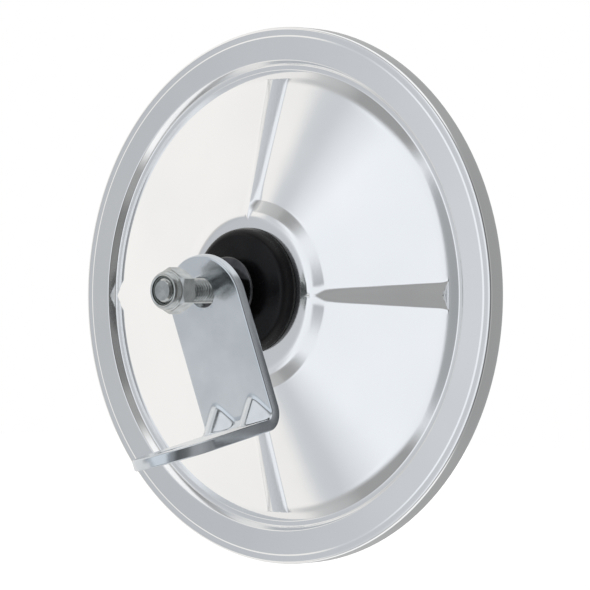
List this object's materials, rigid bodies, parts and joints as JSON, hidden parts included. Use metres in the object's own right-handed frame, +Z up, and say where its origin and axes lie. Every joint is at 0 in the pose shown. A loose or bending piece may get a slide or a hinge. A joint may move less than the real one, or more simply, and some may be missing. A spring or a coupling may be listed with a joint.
{
  "type": "convex security mirror",
  "caption": "Round convex mirror with a ribbed polished metal back, a ball-stud swivel and a zinc-plated angle bracket held by nuts on the stud.",
  "frame": {"origin": "middle of the mounting hole in the bracket's lower leg, halfway through the strip", "axes": "+Y along the swivel axis from the mirror to the stud's free end, so the mirror's face looks along -Y; +Z up; the bracket hangs below the stud"},
  "size_m": [0.216, 0.109, 0.216],
  "materials": {
    "polished_stainless": "polished",
    "mirror_face": "mirror",
    "black_rubber": "matte",
    "backing_board": "matte",
    "foam": "matte",
    "zinc_plate": "bright zinc plate",
    "zinc_bracket": "satin zinc plate",
    "black_plastic": "gloss",
    "white_nylon": "satin",
    "spring_steel": "satin",
    "dark_steel": "dark gloss",
    "brass_plug": "satin",
    "nylon_ring": "satin"
  },
  "bodies": {
    "bracket": {"mount_bracket": "zinc_bracket"},
    "stud": {"ball_stud": "zinc_plate", "stud_washer": "dark_steel", "jam_nut": "dark_steel"},
    "nut_carrier": {"lock_nut_insert": "nylon_ring"},
    "nut": {"lock_nut": "zinc_plate"},
    "ball_pitch": {"ball_liner": "white_nylon"},
    "ball_yaw": {"pressure_cup": "white_nylon"},
    "head": {"back_cover": "polished_stainless", "mirror_glass": "mirror_face", "edge_gasket": "black_rubber", "backing_disc": "backing_board", "cushion_ring": "foam", "hub_plate": "zinc_plate", "hub_gasket": "black_rubber", "swivel_housing": "black_plastic", "inner_disc_spring": "spring_steel", "outer_disc_spring": "spring_steel", "adjusting_plug": "brass_plug", "clamp_washer": "zinc_plate", "clamp_ring": "black_plastic"}
  },
  "joints": [
    {"name": "stud_turn", "type": "hinge", "parent": "bracket", "child": "stud", "pos_m": [0.01348, -0.03268, 0.06278], "axis": [0, 1, 0], "continuous": true},
    {"name": "nut_travel", "type": "slide", "parent": "stud", "child": "nut_carrier", "axis": [0, 1, 0], "range_m": [-0.01, 0]},
    {"name": "nut_spin", "type": "hinge", "parent": "nut_carrier", "child": "nut", "pos_m": [0.01348, -0.0134, 0.06278], "axis": [0, 1, 0], "range_deg": [-2400, 0]},
    {"name": "head_pitch", "type": "hinge", "parent": "stud", "child": "ball_pitch", "pos_m": [0.01348, -0.05708, 0.06278], "axis": [1, 0, 0], "range_deg": [-10, 10]},
    {"name": "head_yaw", "type": "hinge", "parent": "ball_pitch", "child": "ball_yaw", "pos_m": [0.01348, -0.05708, 0.06278], "axis": [0, 0, 1], "range_deg": [-10, 10]},
    {"name": "head_roll", "type": "hinge", "parent": "ball_yaw", "child": "head", "pos_m": [0.01348, -0.05708, 0.06278], "axis": [0, 1, 0], "continuous": true}
  ],
  "couplings": [
    {"joint": "nut_travel", "follows": "nut_spin", "m_per_rad": 0.00023873}
  ]
}
